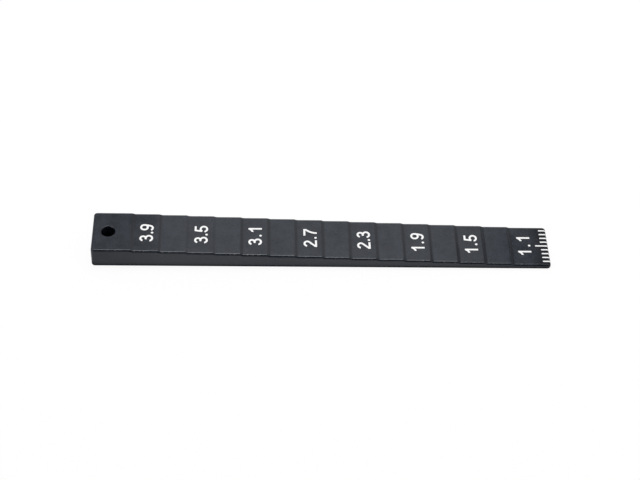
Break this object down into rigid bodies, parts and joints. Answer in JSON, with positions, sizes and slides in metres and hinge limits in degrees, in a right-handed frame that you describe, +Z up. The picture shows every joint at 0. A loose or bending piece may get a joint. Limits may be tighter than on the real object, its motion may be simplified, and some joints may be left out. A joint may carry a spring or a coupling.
{
  "type": "setup gauge",
  "caption": "Pocket setup gauge: a flat black anodised bar whose top falls in equal steps, each one a height to measure with, and a hole at the thick end to hang it by.",
  "frame": {"origin": "on the base, at the middle of the length and of the width", "axes": "+X along the bar from the thick end to the thin end, +Y across it, +Z up from the base to the treads"},
  "size_m": [0.0844, 0.01, 0.0041],
  "materials": {
    "black_anodised": "satin, fine bead-blasted, black anodised",
    "white_marking": "matt white marking of the readings and the scale"
  },
  "bodies": {
    "root": {"gauge_bar": "black_anodised"}
  },
  "joints": []
}
